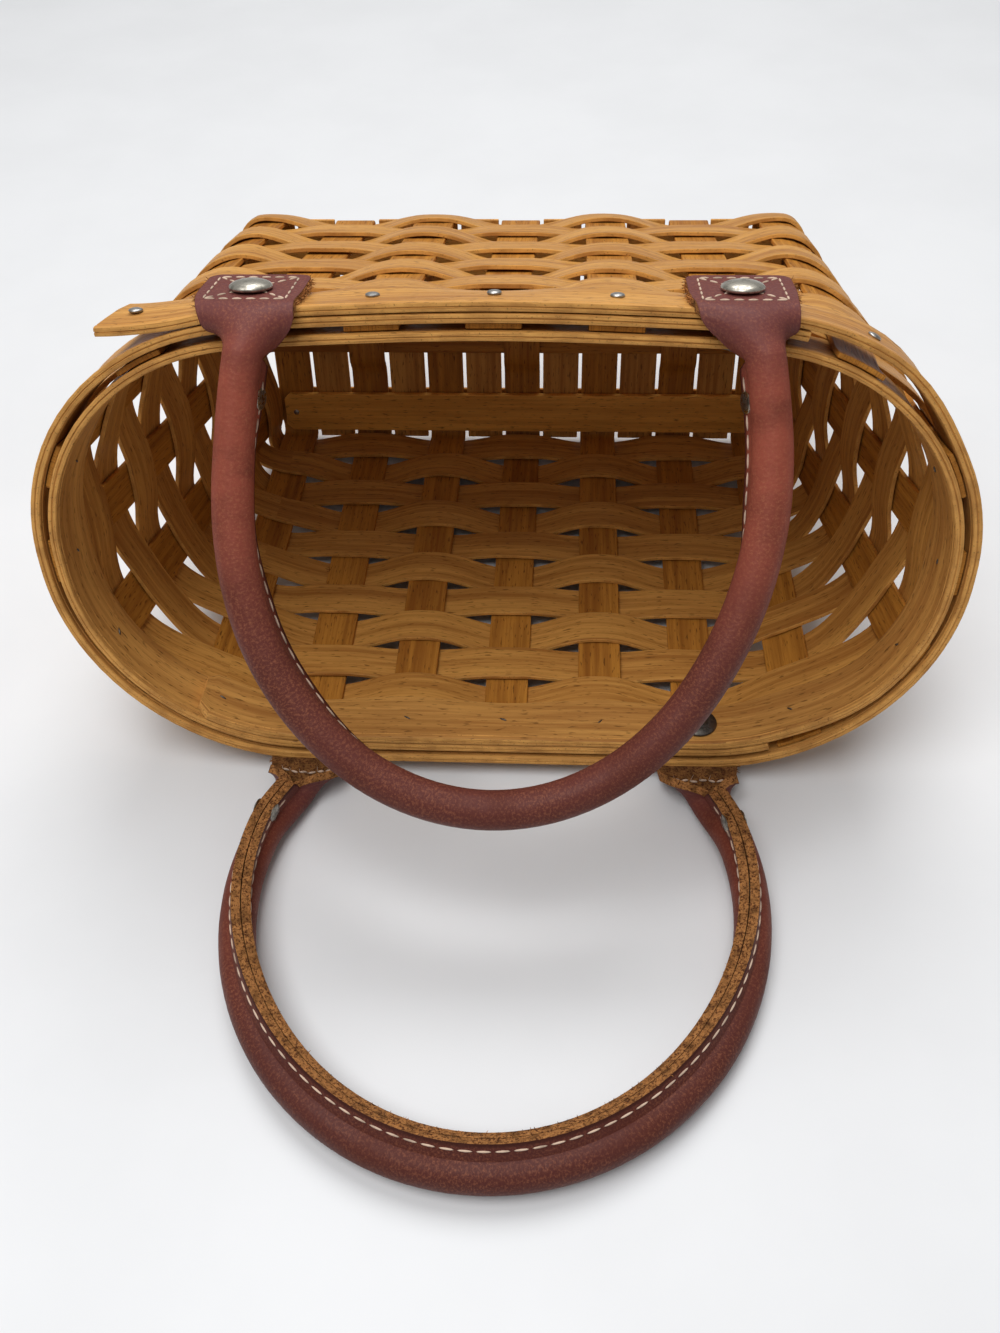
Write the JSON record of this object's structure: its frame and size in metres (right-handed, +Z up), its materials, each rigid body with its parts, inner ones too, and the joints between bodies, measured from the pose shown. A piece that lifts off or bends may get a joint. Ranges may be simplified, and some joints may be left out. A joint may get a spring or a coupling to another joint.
{
  "type": "splint basket",
  "caption": "Oblong basket woven from thin wood splints with a banded rim and two rolled leather handles riveted to its long sides, lying on one side.",
  "frame": {"origin": "on the surface that the basket lies on, under the middle of its box, with the basket on its long side as pictured", "axes": "+X along the basket's length to the right, +Y away from its opening to its base, +Z up. Turning it by -79.2 degrees about +X stands it on its base with the opening up."},
  "size_m": [0.237, 0.2936, 0.1406],
  "materials": {
    "weaver_wood": "satin varnish",
    "upright_wood": "satin varnish",
    "band_wood": "satin varnish",
    "floor_wood": "satin varnish",
    "leather": "worn, waxed",
    "cord_fibre": "matte",
    "nickel": "antique nickel",
    "dark_nickel": "oxidised",
    "steel": "bright"
  },
  "bodies": {
    "basket": {"rim_outer_band": "band_wood", "rim_inner_band": "band_wood", "weaver_row_01": "weaver_wood", "weaver_row_02": "weaver_wood", "weaver_row_03": "weaver_wood", "weaver_row_04": "weaver_wood", "weaver_row_05": "weaver_wood", "weaver_row_06": "weaver_wood", "weaver_row_07": "weaver_wood", "weaver_row_08": "weaver_wood", "weaver_row_09": "weaver_wood", "weaver_row_10": "weaver_wood", "cross_upright_1": "upright_wood", "cross_upright_2": "upright_wood", "cross_upright_3": "upright_wood", "cross_upright_4": "upright_wood", "cross_upright_5": "upright_wood", "cross_upright_6": "upright_wood", "cross_upright_7": "upright_wood", "long_upright_lower": "upright_wood", "long_upright_centre": "upright_wood", "long_upright_upper": "upright_wood", "floor_filler_1": "floor_wood", "floor_filler_2": "floor_wood", "floor_filler_3": "floor_wood", "floor_filler_4": "floor_wood", "floor_filler_5": "floor_wood", "floor_filler_6": "floor_wood", "floor_bar_lower": "floor_wood", "floor_bar_upper": "floor_wood", "rim_tack_lower_1": "steel", "rim_tack_lower_2": "steel", "rim_tack_lower_3": "steel", "rim_tack_upper_1": "steel", "rim_tack_upper_2": "steel", "rim_tack_upper_3": "steel", "rim_tack_upper_4": "steel", "rim_tack_upper_5": "steel", "tab_lower_left": "leather", "tab_lower_right": "leather", "tab_upper_left": "leather", "tab_upper_right": "leather", "rivet_lower_left": "nickel", "rivet_lower_right": "nickel", "rivet_upper_left": "nickel", "rivet_upper_right": "nickel", "burr_lower_left": "dark_nickel", "burr_lower_right": "dark_nickel", "burr_upper_left": "dark_nickel", "burr_upper_right": "dark_nickel"},
    "lower_handle": {"lower_handle_cover": "leather", "lower_handle_core": "cord_fibre", "lower_neck_rivet_left": "dark_nickel", "lower_neck_rivet_right": "dark_nickel"},
    "upper_handle": {"upper_handle_cover": "leather", "upper_handle_core": "cord_fibre", "upper_neck_rivet_left": "dark_nickel", "upper_neck_rivet_right": "dark_nickel"}
  },
  "joints": [
    {"name": "lower_handle_swing", "type": "hinge", "parent": "basket", "child": "lower_handle", "pos_m": [0, -0.03031, 0.00596], "axis": [1, 0, 0], "range_deg": [-40, 80]},
    {"name": "upper_handle_swing", "type": "hinge", "parent": "basket", "child": "upper_handle", "pos_m": [0, -0.00495, 0.13906], "axis": [1, 0, 0], "range_deg": [-150, 3]}
  ]
}
